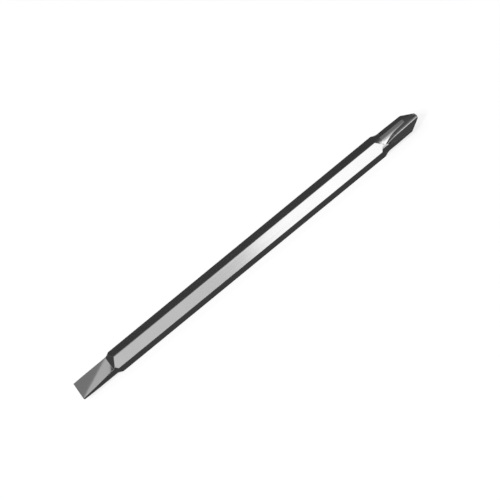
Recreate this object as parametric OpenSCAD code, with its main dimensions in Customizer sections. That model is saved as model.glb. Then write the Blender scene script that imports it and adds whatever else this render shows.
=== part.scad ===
// Reversible screwdriver blade: one bar of hexagonal tool steel, with a slotted
// tip on one end and a cross tip on the other. It lies along X on one of its
// flats, slotted tip at -X and cross tip at +X, with its middle over the origin.

/* [Hexagonal bar] */
// Length of the blade from tip to tip
blade_length = 120; // [90:1:200]
// Width of the bar across two opposite flats
hex_flats = 6; // [5.8:0.1:6.6]
// How much the drawn bar's long corners are rounded off, measured inwards
corner_rounding = 0.05; // [0.02:0.01:0.12]

/* [Turned ends] */
// Diameter of the round neck at the slotted tip, and so the width of its edge
slot_neck_d = 5.5; // [5:0.1:5.6]
// Diameter of the round neck behind the cross tip
cross_neck_d = 5.6; // [5:0.1:5.7]
// Angle of the shoulders between bar and neck, from the axis
shoulder_angle = 28; // [20:1:40]

/* [Slotted tip] */
// Length of the slotted end, from its edge to the full bar
slot_end_length = 13.3; // [12:0.1:16]
// Thickness of the blade at its edge
slot_thickness = 1; // [0.8:0.1:1.2]
// Taper of each broad face, from the axis
slot_taper = 5.9; // [4:0.1:7]
// Length of the broad faces, from the edge to the run-out
slot_face_length = 11.8; // [9:0.1:12]
// Slope of the run-out at the end of each broad face, from the axis
slot_runout_angle = 37; // [30:1:60]

/* [Cross tip] */
// Length of the cross end, from its point to the full bar
cross_end_length = 13.6; // [13:0.1:16]
// Slope of the point's outer edges, from the axis
point_angle = 30; // [26:0.5:32]
// Diameter of the blunt end
point_blunt_d = 1.6; // [1.4:0.1:2]
// Height of the shallow cone that closes the blunt end
point_blunt_rise = 0.25; // [0.1:0.05:0.4]
// Distance from the axis to the root of each flute at the point
flute_root = 0.7; // [0.6:0.05:0.9]
// Slope of the flute's root, from the axis
flute_slope = 5.75; // [4:0.25:7]
// Angle between the two walls of a flute
flute_angle = 100; // [92:1:110]
// Radius at the bottom of a flute
flute_root_r = 0.25; // [0.1:0.05:0.35]
// Length of the straight part of a flute, from the point
flute_straight = 6.4; // [4:0.1:7]
// Radius of the disc cutter, which leaves the flute's curved run-out
flute_cutter_r = 10; // [8:0.5:12]

/* [Hidden] */
$fn = 96;

// How far a cutter reaches past the steel
clear = 1;
// A flat faces down, so the corners stand 30 degrees off it
hex_corner_r = hex_flats / 2 / cos(30);
bar_r = hex_corner_r - corner_rounding;
slot_neck_r = slot_neck_d / 2;
cross_neck_r = cross_neck_d / 2;
blunt_r = point_blunt_d / 2;
slot_shoulder = (hex_corner_r - slot_neck_r) / tan(shoulder_angle);
cross_shoulder = (hex_corner_r - cross_neck_r) / tan(shoulder_angle);
land_length = (hex_corner_r - bar_r) / tan(shoulder_angle);
point_length = (cross_neck_r - blunt_r) / tan(point_angle) + point_blunt_rise;
// The broad faces and two of the wings face a corner of the bar
broad_face_turn = 30;
wing_count = 4;
flute_turn = broad_face_turn + 180 / wing_count;

// Half the blade's thickness at a distance from the edge
function slot_half(z) = slot_thickness / 2 + z * tan(slot_taper);

// Outline of the turned blank, as radius and height above the slotted edge
module turned_outline() {
    bar_start = slot_end_length;
    bar_end = blade_length - cross_end_length;
    point_start = blade_length - point_length;
    polygon([
        [0, 0],
        [slot_neck_r, 0],
        [slot_neck_r, bar_start - slot_shoulder],
        [bar_r, bar_start - land_length],
        [bar_r, bar_end + land_length],
        [cross_neck_r, bar_end + cross_shoulder],
        [cross_neck_r, point_start],
        [blunt_r, blade_length - point_blunt_rise],
        [0, blade_length]
    ]);
}

// Hexagonal bar with both ends turned down
module turned_bar() {
    intersection() {
        rotate([0, 0, 30])
            cylinder(h = blade_length, r = hex_corner_r, $fn = 6);
        rotate_extrude()
            turned_outline();
    }
}

// What the mill takes off one broad face of the slotted tip
module slot_cutter() {
    reach = hex_corner_r + clear;
    root = slot_half(slot_face_length);
    runout = (reach - root) / tan(slot_runout_angle);
    rotate([90, 0, 0])
        linear_extrude(height = 2 * reach, center = true)
            polygon([
                [slot_half(-clear), -clear],
                [root, slot_face_length],
                [reach, slot_face_length + runout],
                [reach, -clear]
            ]);
}

// Section of the flute's cutter: a vee with a round nose, pointing along +X
module flute_section() {
    half = flute_angle / 2;
    apex = flute_cutter_r - flute_root_r + flute_root_r / sin(half);
    tangent_x = apex - flute_root_r * cos(half) / tan(half);
    tangent_y = flute_root_r * cos(half);
    depth = 2 * hex_corner_r;
    mouth_x = apex - depth;
    mouth_y = depth * tan(half);
    translate([flute_cutter_r - flute_root_r, 0])
        circle(r = flute_root_r);
    polygon([
        [tangent_x, tangent_y],
        [tangent_x, -tangent_y],
        [mouth_x, -mouth_y],
        [mouth_x, mouth_y]
    ]);
}

// What the disc cutter takes out of one flute: straight to the point, round behind
module flute_cutter() {
    run = flute_straight * cos(flute_slope);
    root = flute_root + flute_straight * sin(flute_slope);
    past_point = flute_straight + 2 * clear;
    translate([root, 0, blade_length - run])
        rotate([0, -flute_slope, 0])
            translate([flute_cutter_r, 0, 0]) {
                rotate([90, 0, 0])
                    rotate_extrude()
                        flute_section();
                linear_extrude(height = past_point)
                    mirror([1, 0])
                        flute_section();
            }
}

module reversible_blade() {
    color("silver")
        translate([0, 0, hex_flats / 2])
            rotate([0, 90, 0])
                translate([0, 0, -blade_length / 2])
                    difference() {
                        turned_bar();
                        for (side = [0, 180])
                            rotate([0, 0, broad_face_turn + side])
                                slot_cutter();
                        for (wing = [0 : wing_count - 1])
                            rotate([0, 0, flute_turn + wing * 360 / wing_count])
                                flute_cutter();
                    }
}

reversible_blade();
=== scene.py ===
import math

import bmesh
import bpy
from mathutils import Matrix, Quaternion, Vector


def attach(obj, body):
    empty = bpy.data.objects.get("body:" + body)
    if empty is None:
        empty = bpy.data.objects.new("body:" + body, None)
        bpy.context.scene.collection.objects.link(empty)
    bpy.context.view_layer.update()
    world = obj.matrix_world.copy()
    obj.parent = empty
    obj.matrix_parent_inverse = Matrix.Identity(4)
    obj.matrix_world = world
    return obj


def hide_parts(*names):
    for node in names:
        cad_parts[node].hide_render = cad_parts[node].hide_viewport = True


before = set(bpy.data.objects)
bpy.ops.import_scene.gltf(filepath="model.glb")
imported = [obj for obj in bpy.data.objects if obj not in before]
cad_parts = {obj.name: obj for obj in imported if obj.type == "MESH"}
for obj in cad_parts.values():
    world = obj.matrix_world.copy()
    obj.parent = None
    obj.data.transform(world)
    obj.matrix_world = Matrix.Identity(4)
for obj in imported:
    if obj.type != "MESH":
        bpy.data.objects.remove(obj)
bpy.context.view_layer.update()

scene = bpy.context.scene
mm = 0.001
# The bar lies along X, on one of its flats
bladeLength = 120 * mm
acrossFlats = 6 * mm


def linearColour(hexCode):
    channels = []
    for start in (1, 3, 5):
        value = int(hexCode[start:start + 2], 16) / 255
        channels.append(value / 12.92 if value <= 0.04045 else ((value + 0.055) / 1.055) ** 2.4)
    return (*channels, 1.0)


# inputs maps a socket to a number, a socket or a node, whose first output is then linked
def addNode(tree, kind, inputs=None, **settings):
    node = tree.nodes.new(kind)
    for name, value in settings.items():
        setattr(node, name, value)
    for key, value in (inputs or {}).items():
        if isinstance(value, bpy.types.Node):
            value = value.outputs[0]
        if isinstance(value, bpy.types.NodeSocket):
            tree.links.new(value, node.inputs[key])
        else:
            node.inputs[key].default_value = value
    return node


# Camera, fitted to the bar's edges and both tips in the 500 x 500 photograph; sensorWidth is in mm
view = {
    "azimuth": math.radians(6.5065),
    "elevation": math.radians(35.1905),
    "roll": math.radians(-43.1072),
    "distance": 0.671,
    "focalPixels": 2451.39,
    "imagePixels": 500,
    "sensorWidth": 36.0,
    "aimRight": 0.956 * mm,
    "aimUp": 1.229 * mm,
    "clipStart": 0.01,
    "clipEnd": 20.0,
}


def addCamera():
    azimuth = view["azimuth"]
    elevation = view["elevation"]
    roll = view["roll"]
    back = Vector((
        math.sin(azimuth) * math.cos(elevation),
        -math.cos(azimuth) * math.cos(elevation),
        math.sin(elevation),
    ))
    level = Vector((math.cos(azimuth), math.sin(azimuth), 0))
    upright = back.cross(level)
    right = level * math.cos(roll) + upright * math.sin(roll)
    up = upright * math.cos(roll) - level * math.sin(roll)
    aim = Vector((0, 0, acrossFlats / 2)) + right * view["aimRight"] + up * view["aimUp"]
    data = bpy.data.cameras.new("photoCamera")
    data.sensor_fit = "HORIZONTAL"
    data.sensor_width = view["sensorWidth"]
    data.lens = view["focalPixels"] * view["sensorWidth"] / view["imagePixels"]
    data.clip_start = view["clipStart"]
    data.clip_end = view["clipEnd"]
    camera = bpy.data.objects.new("photoCamera", data)
    turn = Matrix((right, up, back)).transposed().to_4x4()
    camera.matrix_world = Matrix.Translation(aim + back * view["distance"]) @ turn
    scene.collection.objects.link(camera)
    scene.camera = camera


addCamera()
print("camera set")

# Blade: sizes in metres, and slopes. They are the solid's, with these exceptions: the fillets and the flute's
# longer straight part follow the photograph, and the flute's nose, the blends and the edges' rounding and
# break are a guess at the finish
blade = {
    "Length": bladeLength,
    "Across Flats": acrossFlats,
    "Corner Rounding": 0.05 * mm,
    "Corner Blend": 0.03 * mm,
    "Slotted Neck Radius": 2.75 * mm,
    "Cross Neck Radius": 2.8 * mm,
    "Shoulder Slope": math.tan(math.radians(28)),
    "Slotted Fillet": 0.4 * mm,
    "Cross Fillet": 0.8 * mm,
    "Slotted End": 13.3 * mm,
    "Edge Thickness": 1.0 * mm,
    "Face Taper": math.tan(math.radians(5.9)),
    "Face Length": 11.8 * mm,
    "Run-out Slope": math.tan(math.radians(37)),
    "Run-out Blend": 0.03 * mm,
    "Cross End": 13.6 * mm,
    "Point Slope": math.tan(math.radians(30)),
    "Blunt Radius": 0.8 * mm,
    "Blunt Rise": 0.25 * mm,
    "Flute Root": 0.7 * mm,
    "Flute Slope": math.radians(5.75),
    "Flute Half Angle": math.radians(50),
    "Flute Straight": 7.1 * mm,
    "Flute Nose": 0.14 * mm,
    "Cutter Radius": 10 * mm,
    "Edge Rounding": 0.05 * mm,
    "Edge Break": 0.05 * mm,
}
# Turns about the bar's axis, from the front upwards, to its corners, broad faces and flutes
sixthTurn = math.radians(60)
quarterTurn = math.radians(90)
cornerTurns = [math.radians(60 * i) for i in range(6)]
faceTurns = [math.radians(turn) for turn in (60, 240)]
fluteTurns = [math.radians(15 + 90 * i) for i in range(4)]
# The tube that the blade is formed from. Spans of rings are (from, to, step) in mm from either tip, close
# where edges run round the bar. Its lines gather at the edges along the bar, and a fade is where that ends
tube = {
    "turns": 330,
    "slotSpans": ((0, 0.06, 0.02), (0.06, 11.6, 0.35), (11.6, 14.3, 0.05)),
    "middleRings": 5,
    "crossSpans": (
        (0.05, 0.5, 0.05), (0.5, 3.4, 0.1), (3.4, 3.9, 0.05), (3.9, 6.2, 0.12),
        (6.2, 10.7, 0.08), (10.7, 12.1, 0.2), (12.1, 14.2, 0.05),
    ),
    "capRings": (0.3, 0.6, 0.9, 0.97),
    "gatherReach": math.radians(10),
    "gatherPull": 0.85,
    "cornerFade": (13.0 * mm, 13.6 * mm),
    "faceFade": (11.9 * mm, 12.4 * mm),
    "fluteFade": (math.radians(2), math.radians(10)),
    "fluteGathered": 11.0 * mm,
    "fluteLaid": 11.8 * mm,
    "narrowestLaid": math.radians(1.5),
    "widestFlute": math.radians(60),
    "halvings": 24,
}
# What the tree marks for the material: cuts by their depth, as rubbed bright an edge that lost edgeShare of
# its rounding, and for painted shade the flutes' walls, leaving out a flute's root raised by rootShare of the
# nose, which fades away from the point. Edges that bend more than sharpBend are shaded sharp, and leastCosine
# keeps a division safe
marking = {
    "cutDepth": 0.02 * mm,
    "fluteDepth": 0.005 * mm,
    "edgeShare": 1 / 6,
    "rootShare": 1 / 60,
    "rootFade": (5.5 * mm, 9.5 * mm),
    "sharpBend": math.radians(25),
    "leastCosine": 0.01,
}
halfLength = bladeLength / 2
cornerRadius = acrossFlats / 2 / math.cos(sixthTurn / 2)


def ramp(value, low, high):
    return min(max((value - low) / (high - low), 0), 1)


# How far one turn lies past another, the short way round
def turnPast(turn, other):
    return (turn - other + math.pi) % (2 * math.pi) - math.pi


# Angle from the middle of a broad face of the slotted tip to its edge
def faceSpread(fromSlot):
    height = blade["Edge Thickness"] / 2 + min(fromSlot, blade["Face Length"]) * blade["Face Taper"]
    height += max(fromSlot - blade["Face Length"], 0) * blade["Run-out Slope"]
    shoulder = cornerRadius + (fromSlot - blade["Slotted End"]) * blade["Shoulder Slope"]
    return math.acos(min(height / max(blade["Slotted Neck Radius"], shoulder), 1))


# Angle from the middle of a flute to its edge, found by halving
def fluteSpread(fromPoint):
    slope = blade["Flute Slope"]
    cutter = blade["Cutter Radius"]
    wallTan = math.tan(blade["Flute Half Angle"])
    cone = blade["Blunt Radius"] + (fromPoint - blade["Blunt Rise"]) * blade["Point Slope"]
    radius = min(blade["Cross Neck Radius"], cone)
    root = blade["Flute Root"] + fromPoint * math.tan(slope)
    straightEnd = blade["Flute Straight"] * math.cos(slope)
    discOut = blade["Flute Root"] + blade["Flute Straight"] * math.sin(slope) + cutter * math.cos(slope)
    discAlong = fromPoint - straightEnd + cutter * math.sin(slope)
    low = 0
    high = tube["widestFlute"]
    for halving in range(tube["halvings"]):
        spread = (low + high) / 2
        rise = max(radius * math.sin(spread) / wallTan - blade["Flute Nose"], 0)
        if fromPoint < straightEnd:
            fluteFloor = root + rise
        else:
            fluteFloor = discOut - math.sqrt(max((cutter - rise) ** 2 - discAlong ** 2, 0))
        if radius * math.cos(spread) > fluteFloor:
            low = spread
        else:
            high = spread
    return low


# Where edges run along the bar at a station, as turns with the share of the full pull
def edgePlaces(x):
    fromSlot = halfLength + x
    fromPoint = halfLength - x
    cornerPull = ramp(min(fromSlot, fromPoint), *tube["cornerFade"])
    places = [(turn, cornerPull) for turn in cornerTurns]
    facePull = 1 - ramp(fromSlot, *tube["faceFade"])
    if facePull > 0:
        spread = faceSpread(fromSlot)
        places += [(turn + side * spread, facePull) for turn in faceTurns for side in (-1, 1)]
    if fromPoint < tube["fluteGathered"]:
        spread = fluteSpread(fromPoint)
        flutePull = ramp(spread, *tube["fluteFade"])
        places += [(turn + side * spread, flutePull) for turn in fluteTurns for side in (-1, 0, 1)]
    return [place for place in places if place[1] > 0]


# Turns of the tube's lines at a station, drawn together where edges run and laid on the flutes' edges
def lineTurns(x):
    reach = tube["gatherReach"]
    places = edgePlaces(x)
    lines = []
    for i in range(tube["turns"]):
        even = 2 * math.pi * i / tube["turns"]
        moved = even
        for place, pull in places:
            off = turnPast(even, place)
            if abs(off) < reach:
                moved -= pull * tube["gatherPull"] * off * (1 - abs(off) / reach)
        lines.append(moved)
    fromPoint = halfLength - x
    spread = fluteSpread(fromPoint) if fromPoint < tube["fluteLaid"] else 0
    if spread > tube["narrowestLaid"]:
        for edge in [turn + side * spread for turn in fluteTurns for side in (-1, 1)]:
            gaps = [abs(turnPast(line, edge)) for line in lines]
            lines[gaps.index(min(gaps))] = edge
    return lines


def ringPlaces(spans):
    places = []
    for low, high, step in spans:
        count = round((high - low) / step)
        places += [(low + (high - low) * i / count) * mm for i in range(count)]
    return places + [spans[-1][1] * mm]


# A tube of radius 1 on the blade's length; the tree gives it its form
def plainTube():
    slotRings = [place - halfLength for place in ringPlaces(tube["slotSpans"])]
    crossRings = [halfLength - place for place in reversed(ringPlaces(tube["crossSpans"]))]
    gap = (crossRings[0] - slotRings[-1]) / (tube["middleRings"] + 1)
    middle = [slotRings[-1] + gap * i for i in range(1, tube["middleRings"] + 1)]
    mesh = bpy.data.meshes.new("reversibleBlade")
    build = bmesh.new()
    turns = tube["turns"]

    def ring(x, radius):
        places = [(x, -radius * math.cos(turn), radius * math.sin(turn)) for turn in lineTurns(x)]
        return [build.verts.new(place) for place in places]

    def skin(first, second):
        for i in range(turns):
            j = (i + 1) % turns
            build.faces.new((first[i], first[j], second[j], second[i]))

    def fan(centre, points):
        for i in range(turns):
            build.faces.new((centre, points[i], points[(i + 1) % turns]))

    rings = [ring(-halfLength, radius) for radius in tube["capRings"]]
    rings += [ring(x, 1.0) for x in slotRings + middle + crossRings]
    for first, second in zip(rings, rings[1:]):
        skin(first, second)
    fan(build.verts.new((-halfLength, 0, 0)), rings[0])
    fan(build.verts.new((halfLength, 0, 0)), rings[-1])
    bmesh.ops.recalc_face_normals(build, faces=build.faces)
    build.to_mesh(mesh)
    build.free()
    return mesh


# The blade's rule: along every ray from the axis, the steel ends at the nearest of the hexagon,
# the turning, the milling and the flutes
def bladeTree():
    tree = bpy.data.node_groups.new("bladeRule", "GeometryNodeTree")
    tree.interface.new_socket("Geometry", in_out="INPUT", socket_type="NodeSocketGeometry")
    for name in blade:
        tree.interface.new_socket(name, in_out="INPUT", socket_type="NodeSocketFloat")
    tree.interface.new_socket("Steel", in_out="INPUT", socket_type="NodeSocketMaterial")
    tree.interface.new_socket("Geometry", in_out="OUTPUT", socket_type="NodeSocketGeometry")
    size = addNode(tree, "NodeGroupInput").outputs
    calc = "ShaderNodeMath"

    place = addNode(tree, "GeometryNodeInputPosition")
    axes = addNode(tree, "ShaderNodeSeparateXYZ", {0: place}).outputs
    front = addNode(tree, calc, {0: axes["Y"], 1: -1.0}, operation="MULTIPLY")
    angle = addNode(tree, calc, {0: axes["Z"], 1: front}, operation="ARCTAN2")
    half = addNode(tree, calc, {0: size["Length"], 1: 0.5}, operation="MULTIPLY")
    fromSlot = addNode(tree, calc, {0: axes["X"], 1: half}, operation="ADD")
    fromPoint = addNode(tree, calc, {0: half, 1: axes["X"]}, operation="SUBTRACT")

    # hexagon with a flat underneath
    halfFlats = addNode(tree, calc, {0: size["Across Flats"], 1: 0.5}, operation="MULTIPLY")
    sector = addNode(tree, calc, {0: angle, 1: sixthTurn}, operation="FLOORED_MODULO")
    offFlat = addNode(tree, calc, {0: sector, 1: sixthTurn / 2}, operation="SUBTRACT")
    flatCos = addNode(tree, calc, {0: offFlat}, operation="COSINE")
    hexagon = addNode(tree, calc, {0: halfFlats, 1: flatCos}, operation="DIVIDE")
    corner = addNode(tree, calc, {0: halfFlats, 1: math.cos(sixthTurn / 2)}, operation="DIVIDE")
    barRadius = addNode(tree, calc, {0: corner, 1: size["Corner Rounding"]}, operation="SUBTRACT")
    bar = addNode(tree, calc, {0: hexagon, 1: barRadius, 2: size["Corner Blend"]}, operation="SMOOTH_MIN")

    # shoulders down to the round necks, and the point
    necks = []
    for distance, name in ((fromSlot, "Slotted"), (fromPoint, "Cross")):
        shoulderSlope = size["Shoulder Slope"]
        neckRadius = size[name + " Neck Radius"]
        fillet = size[name + " Fillet"]
        beyond = addNode(tree, calc, {0: distance, 1: size[name + " End"]}, operation="SUBTRACT")
        rise = addNode(tree, calc, {0: beyond, 1: shoulderSlope, 2: corner}, operation="MULTIPLY_ADD")
        necks.append(addNode(tree, calc, {0: rise, 1: neckRadius, 2: fillet}, operation="SMOOTH_MAX"))
    turned = addNode(tree, calc, {0: necks[0], 1: necks[1]}, operation="MINIMUM")
    bluntRadius = size["Blunt Radius"]
    behindBlunt = addNode(tree, calc, {0: fromPoint, 1: size["Blunt Rise"]}, operation="SUBTRACT")
    point = addNode(
        tree, calc, {0: behindBlunt, 1: size["Point Slope"], 2: bluntRadius}, operation="MULTIPLY_ADD")
    bluntSlope = addNode(tree, calc, {0: bluntRadius, 1: size["Blunt Rise"]}, operation="DIVIDE")
    blunt = addNode(tree, calc, {0: fromPoint, 1: bluntSlope}, operation="MULTIPLY")
    for cut in (point, blunt):
        turned = addNode(tree, calc, {0: turned, 1: cut, 2: size["Edge Rounding"]}, operation="SMOOTH_MIN")

    # two broad faces, whose middle faces a corner of the bar, and their run-out
    faceTaper = size["Face Taper"]
    faceLength = size["Face Length"]
    runOutSlope = size["Run-out Slope"]
    halfEdge = addNode(tree, calc, {0: size["Edge Thickness"], 1: 0.5}, operation="MULTIPLY")
    face = addNode(tree, calc, {0: fromSlot, 1: faceTaper, 2: halfEdge}, operation="MULTIPLY_ADD")
    faceRoot = addNode(tree, calc, {0: faceLength, 1: faceTaper, 2: halfEdge}, operation="MULTIPLY_ADD")
    pastFace = addNode(tree, calc, {0: fromSlot, 1: faceLength}, operation="SUBTRACT")
    runOut = addNode(tree, calc, {0: pastFace, 1: runOutSlope, 2: faceRoot}, operation="MULTIPLY_ADD")
    faceHeight = addNode(
        tree, calc, {0: face, 1: runOut, 2: size["Run-out Blend"]}, operation="SMOOTH_MAX")
    offFace = addNode(tree, calc, {0: angle, 1: faceTurns[0]}, operation="SUBTRACT")
    faceCos = addNode(tree, calc, {0: offFace}, operation="COSINE")
    eitherFace = addNode(tree, calc, {0: faceCos}, operation="ABSOLUTE")
    faceSafe = addNode(tree, calc, {0: eitherFace, 1: marking["leastCosine"]}, operation="MAXIMUM")
    broad = addNode(tree, calc, {0: faceHeight, 1: faceSafe}, operation="DIVIDE")

    # four flutes, a quarter turn apart
    fromFlute = addNode(tree, calc, {0: angle, 1: quarterTurn / 2 - fluteTurns[0]}, operation="ADD")
    inQuarter = addNode(tree, calc, {0: fromFlute, 1: quarterTurn}, operation="FLOORED_MODULO")
    offFlute = addNode(tree, calc, {0: inQuarter, 1: quarterTurn / 2}, operation="SUBTRACT")
    fluteCos = addNode(tree, calc, {0: offFlute}, operation="COSINE")
    fluteSin = addNode(tree, calc, {0: offFlute}, operation="SINE")
    slopeTan = addNode(tree, calc, {0: size["Flute Slope"]}, operation="TANGENT")
    slopeCos = addNode(tree, calc, {0: size["Flute Slope"]}, operation="COSINE")
    slopeSin = addNode(tree, calc, {0: size["Flute Slope"]}, operation="SINE")
    fluteRoot = size["Flute Root"]
    root = addNode(tree, calc, {0: fromPoint, 1: slopeTan, 2: fluteRoot}, operation="MULTIPLY_ADD")
    sideways = addNode(tree, calc, {0: fluteSin}, operation="ABSOLUTE")
    wallTan = addNode(tree, calc, {0: size["Flute Half Angle"]}, operation="TANGENT")
    veeWall = addNode(tree, calc, {0: sideways, 1: wallTan}, operation="DIVIDE")
    cosSquare = addNode(tree, calc, {0: fluteCos, 1: fluteCos}, operation="MULTIPLY")

    # behind the straight part the disc cutter leaves the flute on a circle
    straightPart = size["Flute Straight"]
    cutter = size["Cutter Radius"]
    endOfStraight = addNode(tree, calc, {0: straightPart, 1: slopeCos}, operation="MULTIPLY")
    rootThere = addNode(tree, calc, {0: straightPart, 1: slopeSin, 2: fluteRoot}, operation="MULTIPLY_ADD")
    discOut = addNode(tree, calc, {0: cutter, 1: slopeCos, 2: rootThere}, operation="MULTIPLY_ADD")
    discBack = addNode(tree, calc, {0: cutter, 1: slopeSin}, operation="MULTIPLY")
    discAlong = addNode(tree, calc, {0: endOfStraight, 1: discBack}, operation="SUBTRACT")
    along = addNode(tree, calc, {0: fromPoint, 1: discAlong}, operation="SUBTRACT")
    alongSquare = addNode(tree, calc, {0: along, 1: along}, operation="MULTIPLY")
    outSquare = addNode(tree, calc, {0: discOut, 1: discOut, 2: alongSquare}, operation="MULTIPLY_ADD")
    outPart = addNode(tree, calc, {0: discOut, 1: fluteCos}, operation="MULTIPLY")
    past = addNode(tree, calc, {0: fromPoint, 1: endOfStraight}, operation="GREATER_THAN")

    # the cutter's vee, whose apex lies deeper than its nose, and the nose as if flat; the two are blended
    nose = size["Flute Nose"]
    cuts = []
    for wall, deeper in ((veeWall, nose), (0.0, 0.0)):
        rootHere = addNode(tree, calc, {0: root, 1: deeper}, operation="SUBTRACT")
        opening = addNode(tree, calc, {0: fluteCos, 1: wall}, operation="SUBTRACT")
        straight = addNode(tree, calc, {0: rootHere, 1: opening}, operation="DIVIDE")
        disc = addNode(tree, calc, {0: cutter, 1: deeper}, operation="ADD")
        discSquare = addNode(tree, calc, {0: disc, 1: disc}, operation="MULTIPLY")
        constant = addNode(tree, calc, {0: outSquare, 1: discSquare}, operation="SUBTRACT")
        wallSquare = addNode(tree, calc, {0: wall, 1: wall}, operation="MULTIPLY")
        leading = addNode(tree, calc, {0: cosSquare, 1: wallSquare}, operation="SUBTRACT")
        wallPart = addNode(tree, calc, {0: disc, 1: wall}, operation="MULTIPLY")
        middle = addNode(tree, calc, {0: outPart, 1: wallPart}, operation="SUBTRACT")
        middleSquare = addNode(tree, calc, {0: middle, 1: middle}, operation="MULTIPLY")
        product = addNode(tree, calc, {0: leading, 1: constant}, operation="MULTIPLY")
        inside = addNode(tree, calc, {0: middleSquare, 1: product}, operation="SUBTRACT")
        insideSafe = addNode(tree, calc, {0: inside, 1: 0.0}, operation="MAXIMUM")
        insideRoot = addNode(tree, calc, {0: insideSafe}, operation="SQRT")
        below = addNode(tree, calc, {0: middle, 1: insideRoot}, operation="ADD")
        onDisc = addNode(tree, calc, {0: constant, 1: below}, operation="DIVIDE")
        either = {"Switch": past, "False": straight, "True": onDisc}
        cuts.append(addNode(tree, "GeometryNodeSwitch", either, input_type="FLOAT"))
    flute = addNode(tree, calc, {0: cuts[0], 1: cuts[1], 2: nose}, operation="SMOOTH_MAX")
    veeOrFlat = addNode(tree, calc, {0: cuts[0], 1: cuts[1]}, operation="MAXIMUM")

    # nearest of them all, with a small radius on every edge but the flutes', which are left sharp
    rounding = size["Edge Rounding"]
    blank = addNode(tree, calc, {0: bar, 1: turned}, operation="MINIMUM")
    blankMilled = addNode(tree, calc, {0: blank, 1: broad}, operation="MINIMUM")
    sharp = addNode(tree, calc, {0: blankMilled, 1: flute}, operation="MINIMUM")
    softBlank = addNode(tree, calc, {0: bar, 1: turned, 2: rounding}, operation="SMOOTH_MIN")
    softMilled = addNode(tree, calc, {0: softBlank, 1: broad, 2: rounding}, operation="SMOOTH_MIN")
    steel = addNode(tree, calc, {0: softMilled, 1: flute}, operation="MINIMUM")
    unbroken = addNode(tree, calc, {0: size["Edge Break"], 1: fromSlot}, operation="SUBTRACT")
    broken = addNode(tree, calc, {0: unbroken, 1: 0.0}, operation="MAXIMUM")
    radius = addNode(tree, calc, {0: steel, 1: broken}, operation="SUBTRACT")

    # where a cut, not the drawn bar, makes the surface
    cutDepth = addNode(tree, calc, {0: bar, 1: steel}, operation="SUBTRACT")
    isCut = addNode(tree, calc, {0: cutDepth, 1: marking["cutDepth"]}, operation="GREATER_THAN")
    millDepth = addNode(tree, calc, {0: blank, 1: steel}, operation="SUBTRACT")
    isMilled = addNode(tree, calc, {0: millDepth, 1: marking["cutDepth"]}, operation="GREATER_THAN")
    fluteDepth = addNode(tree, calc, {0: blank, 1: flute}, operation="SUBTRACT")
    inFlute = addNode(tree, calc, {0: fluteDepth, 1: marking["fluteDepth"]}, operation="GREATER_THAN")

    # where an edge is rubbed bright, and the flutes' walls that get painted shade, all but a flute's root
    # near the point
    edgeLoss = addNode(tree, calc, {0: sharp, 1: radius}, operation="SUBTRACT")
    edgeFull = addNode(tree, calc, {0: rounding, 1: marking["edgeShare"]}, operation="MULTIPLY")
    edge = addNode(tree, calc, {0: edgeLoss, 1: edgeFull}, operation="DIVIDE", use_clamp=True)
    noseRise = addNode(tree, calc, {0: flute, 1: veeOrFlat}, operation="SUBTRACT")
    noseFull = addNode(tree, calc, {0: nose, 1: marking["rootShare"]}, operation="MULTIPLY")
    noseShare = addNode(tree, calc, {0: noseRise, 1: noseFull}, operation="DIVIDE", use_clamp=True)
    nearPoint = addNode(tree, "ShaderNodeMapRange", {
        "Value": fromPoint,
        "From Min": marking["rootFade"][0],
        "From Max": marking["rootFade"][1],
        "To Min": 1.0,
        "To Max": 0.0,
    })
    # a flute's root near the point is left out of the painted shade
    noseUnshaded = addNode(tree, calc, {0: noseShare, 1: nearPoint}, operation="MULTIPLY")
    # the flutes' walls, marked for painted shade, all but a root near the point
    wallShadeMask = addNode(tree, calc, {0: inFlute, 1: noseUnshaded}, operation="SUBTRACT", use_clamp=True)

    acrossY = addNode(tree, calc, {0: axes["Y"], 1: radius}, operation="MULTIPLY")
    upZ = addNode(tree, calc, {0: axes["Z"], 1: radius, 2: halfFlats}, operation="MULTIPLY_ADD")
    newPlace = addNode(tree, "ShaderNodeCombineXYZ", {0: axes["X"], 1: acrossY, 2: upZ})
    marked = size["Geometry"]
    marks = {"cutFace": isCut, "milledFace": isMilled, "fluteWallShade": wallShadeMask, "rubbedEdge": edge}
    for name, value in marks.items():
        marked = addNode(
            tree, "GeometryNodeStoreNamedAttribute", {"Geometry": marked, "Name": name, "Value": value},
            data_type="FLOAT", domain="POINT")
    shaped = addNode(tree, "GeometryNodeSetPosition", {"Geometry": marked, "Position": newPlace})
    smooth = addNode(tree, "GeometryNodeSetShadeSmooth", {"Geometry": shaped, "Shade Smooth": True})
    bend = addNode(tree, "GeometryNodeInputMeshEdgeAngle")
    isSharp = addNode(tree, calc, {0: bend, 1: marking["sharpBend"]}, operation="GREATER_THAN")
    crisp = addNode(
        tree, "GeometryNodeSetShadeSmooth", {"Geometry": smooth, "Selection": isSharp, "Shade Smooth": False},
        domain="EDGE")
    solid = addNode(tree, "GeometryNodeRealizeInstances", {"Geometry": crisp})
    coated = addNode(tree, "GeometryNodeSetMaterial", {"Geometry": solid, "Material": size["Steel"]})
    addNode(tree, "NodeGroupOutput", {"Geometry": coated})
    return tree


# Bright drawn tool steel, polished: a clear grey mirror, with faint lines along the drawn bar and across it
# on the turned necks, hardly any on the milled tips, and painted shade on the flutes' walls. The lines are
# coarser than real ones, which would be too fine to show
steelLook = {
    "colour": "#C5C5C5",
    "dullColour": "#BBBBBB",
    "edgeColour": "#D2D2D2",
    # the painted shade of the flutes' walls
    "fluteShadeColour": "#808080",
    "roughness": 0.11,
    "lineRoughness": 0.04,
    "milledRoughness": 0.03,
    "drawnLine": 0.35 * mm,
    "drawnLength": 40 * mm,
    "turnedLine": 0.30 * mm,
    "turnedLength": 50 / 3 * mm,
    "lineDetail": 3.0,
    "lineLevels": (0.3, 0.7),
    "lineDepth": 0.0006 * mm,
    "milledDepth": 0.06,
    "cloud": 9 * mm,
    "cloudDetail": 4.0,
}


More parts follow.
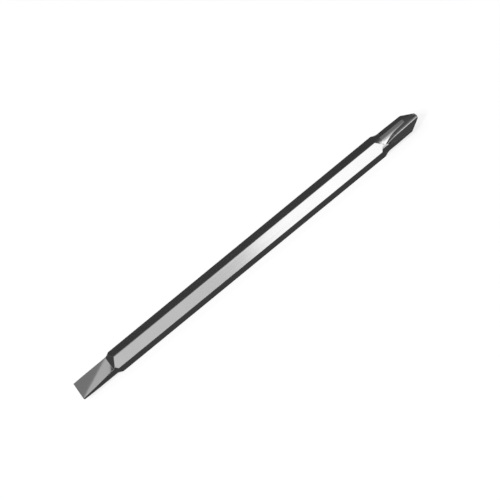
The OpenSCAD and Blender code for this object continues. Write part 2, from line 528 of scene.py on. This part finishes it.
def toolSteel():
    material = bpy.data.materials.new("polishedToolSteel")
    material.use_nodes = True
    tree = material.node_tree
    tree.nodes.clear()
    place = addNode(tree, "ShaderNodeTexCoord").outputs["Object"]
    cutFace = addNode(tree, "ShaderNodeAttribute", attribute_name="cutFace").outputs["Fac"]
    milled = addNode(tree, "ShaderNodeAttribute", attribute_name="milledFace").outputs["Fac"]
    shadeOnWall = addNode(tree, "ShaderNodeAttribute", attribute_name="fluteWallShade").outputs["Fac"]
    rubbed = addNode(tree, "ShaderNodeAttribute", attribute_name="rubbedEdge").outputs["Fac"]

    # lines along the drawn bar, and across it where it is cut
    detail = steelLook["lineDetail"]
    drawnScale = (1 / steelLook["drawnLength"], 1 / steelLook["drawnLine"], 1 / steelLook["drawnLine"])
    drawnPlace = addNode(tree, "ShaderNodeMapping", {"Vector": place, "Scale": drawnScale})
    drawn = addNode(tree, "ShaderNodeTexNoise", {"Vector": drawnPlace, "Scale": 1.0, "Detail": detail})
    turnedScale = (1 / steelLook["turnedLine"], 1 / steelLook["turnedLength"], 1 / steelLook["turnedLength"])
    turnedPlace = addNode(tree, "ShaderNodeMapping", {"Vector": place, "Scale": turnedScale})
    turned = addNode(tree, "ShaderNodeTexNoise", {"Vector": turnedPlace, "Scale": 1.0, "Detail": detail})
    lines = addNode(tree, "ShaderNodeMix", {"Factor": cutFace, "A": drawn, "B": turned}, data_type="FLOAT")

    rough = addNode(tree, "ShaderNodeMapRange", {
        "Value": lines,
        "From Min": steelLook["lineLevels"][0],
        "From Max": steelLook["lineLevels"][1],
        "To Min": steelLook["roughness"] - steelLook["lineRoughness"] / 2,
        "To Max": steelLook["roughness"] + steelLook["lineRoughness"] / 2,
    })
    finish = addNode(tree, "ShaderNodeMix", {
        "Factor": milled,
        "A": rough,
        "B": steelLook["milledRoughness"],
    }, data_type="FLOAT")
    flatter = addNode(tree, "ShaderNodeMapRange", {
        "Value": milled,
        "To Min": 1.0,
        "To Max": steelLook["milledDepth"],
    })
    relief = addNode(tree, "ShaderNodeMath", {0: lines, 1: flatter}, operation="MULTIPLY")
    bump = addNode(tree, "ShaderNodeBump", {
        "Height": relief,
        "Strength": 1.0,
        "Distance": steelLook["lineDepth"],
    })

    # clouded steel, with painted shade on the flutes' walls, and brighter where it is rubbed
    cloud = addNode(tree, "ShaderNodeTexNoise", {
        "Vector": place,
        "Scale": 1 / steelLook["cloud"],
        "Detail": steelLook["cloudDetail"],
    })
    clouded = addNode(tree, "ShaderNodeMix", {
        "Factor": cloud,
        "A": linearColour(steelLook["dullColour"]),
        "B": linearColour(steelLook["colour"]),
    }, data_type="RGBA")
    shadedFlutes = addNode(tree, "ShaderNodeMix", {
        "Factor": shadeOnWall,
        "A": clouded.outputs["Result"],
        "B": linearColour(steelLook["fluteShadeColour"]),
    }, data_type="RGBA")
    colour = addNode(tree, "ShaderNodeMix", {
        "Factor": rubbed,
        "A": shadedFlutes.outputs["Result"],
        "B": linearColour(steelLook["edgeColour"]),
    }, data_type="RGBA")
    shader = addNode(tree, "ShaderNodeBsdfPrincipled", {
        "Base Color": colour.outputs["Result"],
        "Metallic": 1.0,
        "Roughness": finish,
        "Normal": bump,
    })
    addNode(tree, "ShaderNodeOutputMaterial", {"Surface": shader})
    return material


def addBlade():
    draft = bpy.data.objects.new("bladeDraft", plainTube())
    scene.collection.objects.link(draft)
    tree = bladeTree()
    rule = draft.modifiers.new("bladeRule", "NODES")
    rule.node_group = tree
    values = dict(blade, Steel=toolSteel())
    for item in tree.interface.items_tree:
        if item.in_out == "INPUT" and item.name in values:
            rule[item.identifier] = values[item.name]
    depsgraph = bpy.context.evaluated_depsgraph_get()
    mesh = bpy.data.meshes.new_from_object(draft.evaluated_get(depsgraph))
    bpy.data.objects.remove(draft)
    piece = bpy.data.objects.new("polished_blade", mesh)
    scene.collection.objects.link(piece)
    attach(piece, "root")
    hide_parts("reversible_blade")
    return piece


bladePiece = addBlade()
print("blade made,", len(bladePiece.data.polygons), "faces")

# Studio: a pale floor under two softboxes, with panels and dark cards that only the steel shows. Seen by the
# camera or in the steel, the floor is plain white by the share floorWhite, and matt for the rest
studio = {
    "floorSize": 8.0,
    "floorColour": "#F8F8F8",
    "floorWhite": 0.8,
    "worldColour": "#FFFFFF",
    "worldStrength": 0.27,
}
softboxes = {
    "keyLeft": {"at": (-1.38, -1.12, 1.75), "aim": (0, 0, 0), "size": (1.05, 1.05), "radiance": 14.0},
    "backLeft": {"at": (-1.25, 1.12, 1.85), "aim": (0, 0, 0), "size": (1.05, 1.05), "radiance": 4.2},
}
# What the bright facets mirror. The level panel's edge lies across the slotted tip's face, corner to corner
panels = {
    "frontDim": {
        "at": (-0.1726, -0.50, 0.23), "aim": (-0.1726, 0, 0), "size": (0.25, 0.22), "radiance": 0.67},
    "frontBright": {
        "at": (0.0453, -0.50, 0.23), "aim": (0.0453, 0, 0), "size": (0.1855, 0.22), "radiance": 1.57},
    "frontRight": {
        "at": (0.176, -0.50, 0.23), "aim": (0.176, 0, 0), "size": (0.076, 0.22), "radiance": 1.0},
    "frontLow": {
        "at": (0.0373, -0.44, 0.06), "aim": (0.0373, 0, 0.06), "size": (0.1695, 0.116), "radiance": 1.30},
    "lowRight": {
        "at": (0.168, -0.44, 0.044), "aim": (0.168, 0, 0.044), "size": (0.0915, 0.084), "radiance": 1.0},
    "stepLow": {
        "at": (0.09, -0.38, 0.33), "aim": (0.09, 0, 0), "size": (0.26, 0.105), "radiance": 0.93},
    "stepMiddle": {
        "at": (0.035, -0.29, 0.37), "aim": (0.035, 0, 0), "size": (0.15, 0.09), "radiance": 0.58},
    "stepHigh": {
        "at": (0.025, -0.22, 0.42), "aim": (0.025, 0, 0), "size": (0.13, 0.098), "radiance": 0.30},
    "stepRight": {
        "at": (0.205, -0.295, 0.375), "aim": (0.048, 0, 0), "size": (0.28, 0.17), "radiance": 0.70},
    "rightFront": {
        "at": (0.5005, -0.3134, 0.17), "aim": (0.0325, -0.0234, 0.17), "size": (0.225, 0.33),
        "radiance": 1.5},
    "rightMiddle": {
        "at": (0.374, -0.503, 0.22), "aim": (0.047, 0, 0.22), "size": (0.30, 0.43), "radiance": 1.5},
    "levelPanel": {
        "at": (-0.1026, -0.0350, 0.15), "aim": (-0.1026, -0.0350, 0), "size": (0.08, 0.05), "radiance": 0.42,
        "roll": 16.2},
    "levelFill": {
        "at": (-0.11, -0.01, 0.16), "aim": (-0.11, -0.01, 0), "size": (0.10, 0.12), "radiance": 0.04},
    "backPanel": {
        "at": (-0.1575, 0.55, 0.19), "aim": (-0.1575, 0, 0), "size": (0.345, 0.165), "radiance": 0.7},
    "backRight": {
        "at": (0.52, 0.68, 0.40), "aim": (0, 0, 0), "size": (0.30, 0.24), "radiance": 0.8},
    "sideFront": {
        "at": (-0.50, -0.49, 0.29), "aim": (0, 0, 0), "size": (0.28, 0.24), "radiance": 0.8},
    "sideBack": {
        "at": (-0.50, 0.49, 0.29), "aim": (0, 0, 0), "size": (0.28, 0.24), "radiance": 0.45},
}
# What the dark facets mirror; the tone is the light that a card sends to the steel
darkCards = {
    "cardBehind": {
        "at": (0.05, 0.375, 0.499), "aim": (0.05, -0.104, 0.138), "size": (0.80, 0.495), "tone": 0.066},
    "cardBack": {
        "at": (0.235, 0.628, 0.163), "aim": (0.235, 0.149, -0.198), "size": (0.43, 0.345), "tone": 0.066},
    "cardLeft": {
        "at": (-0.60, 0.02, 0.22), "aim": (0, 0.02, 0.05), "size": (0.75, 0.40), "tone": 0.085},
    "cardRight": {
        "at": (0.62, 0.09, 0.36), "aim": (0.05, 0.09, 0.36), "size": (0.70, 0.72), "tone": 0.10},
    "cardOver": {
        "at": (0.28, 0.046, 0.559), "aim": (0.28, 0.046, 0), "size": (0.34, 0.032), "tone": 0.19},
    "cardAbove": {
        "at": (0.355, 0.12, 0.56), "aim": (0.355, 0.12, 0), "size": (0.49, 0.36), "tone": 0.085},
    "cardFore": {
        "at": (0.355, -0.18, 0.56), "aim": (0.355, -0.18, 0), "size": (0.49, 0.24), "tone": 0.24},
    "cardCorner": {
        "at": (-0.0957, -0.0198, 0.149), "aim": (-0.0957, -0.0198, 0), "size": (0.02, 0.02), "tone": 0.07,
        "roll": 45},
    "cardUnder": {
        "at": (0, 0.05, 0.0001), "aim": (0, 0.05, 1), "size": (0.140, 0.124), "tone": 0.075},
}


def facing(box):
    at = Vector(box["at"])
    turn = (Vector(box["aim"]) - at).to_track_quat("-Z", "Y")
    roll = Quaternion((0, 0, 1), math.radians(box.get("roll", 0)))
    return Matrix.Translation(at) @ (turn @ roll).to_matrix().to_4x4()


def addFloor():
    bpy.ops.mesh.primitive_plane_add(size=studio["floorSize"])
    floor = bpy.context.object
    floor.name = "floor"
    paper = bpy.data.materials.new("paleMattFloor")
    paper.use_nodes = True
    tree = paper.node_tree
    tree.nodes.clear()
    matt = addNode(tree, "ShaderNodeBsdfDiffuse", {"Color": linearColour(studio["floorColour"])})
    white = addNode(tree, "ShaderNodeEmission", {"Strength": 1.0})
    ray = addNode(tree, "ShaderNodeLightPath").outputs
    calc = "ShaderNodeMath"
    seen = addNode(tree, calc, {0: ray["Is Camera Ray"], 1: ray["Is Glossy Ray"]}, operation="MAXIMUM")
    share = addNode(tree, calc, {0: seen, 1: studio["floorWhite"]}, operation="MULTIPLY")
    mixed = addNode(tree, "ShaderNodeMixShader", {0: share, 1: matt, 2: white})
    addNode(tree, "ShaderNodeOutputMaterial", {"Surface": mixed})
    floor.data.materials.append(paper)


def addLights():
    world = bpy.data.worlds.new("studioWorld")
    world.use_nodes = True
    background = world.node_tree.nodes["Background"]
    background.inputs["Color"].default_value = linearColour(studio["worldColour"])
    background.inputs["Strength"].default_value = studio["worldStrength"]
    scene.world = world
    for name, box in (softboxes | panels).items():
        data = bpy.data.lights.new(name, "AREA")
        data.shape = "RECTANGLE"
        data.size, data.size_y = box["size"]
        data.energy = box["radiance"] * math.pi * data.size * data.size_y
        lamp = bpy.data.objects.new(name, data)
        lamp.matrix_world = facing(box)
        lamp.visible_camera = False
        lamp.visible_glossy = name in panels
        scene.collection.objects.link(lamp)


def addCards():
    for name, card in darkCards.items():
        bpy.ops.mesh.primitive_plane_add(size=1)
        plane = bpy.context.object
        plane.name = name
        plane.matrix_world = facing(card) @ Matrix.Diagonal((*card["size"], 1, 1))
        felt = bpy.data.materials.new(name)
        felt.use_nodes = True
        felt.node_tree.nodes.clear()
        glow = addNode(felt.node_tree, "ShaderNodeEmission", {"Strength": card["tone"]})
        addNode(felt.node_tree, "ShaderNodeOutputMaterial", {"Surface": glow})
        plane.data.materials.append(felt)
        plane.visible_camera = False
        plane.visible_diffuse = False
        plane.visible_shadow = False


addFloor()
addLights()
addCards()
scene.view_settings.view_transform = "Standard"
print("studio lit")
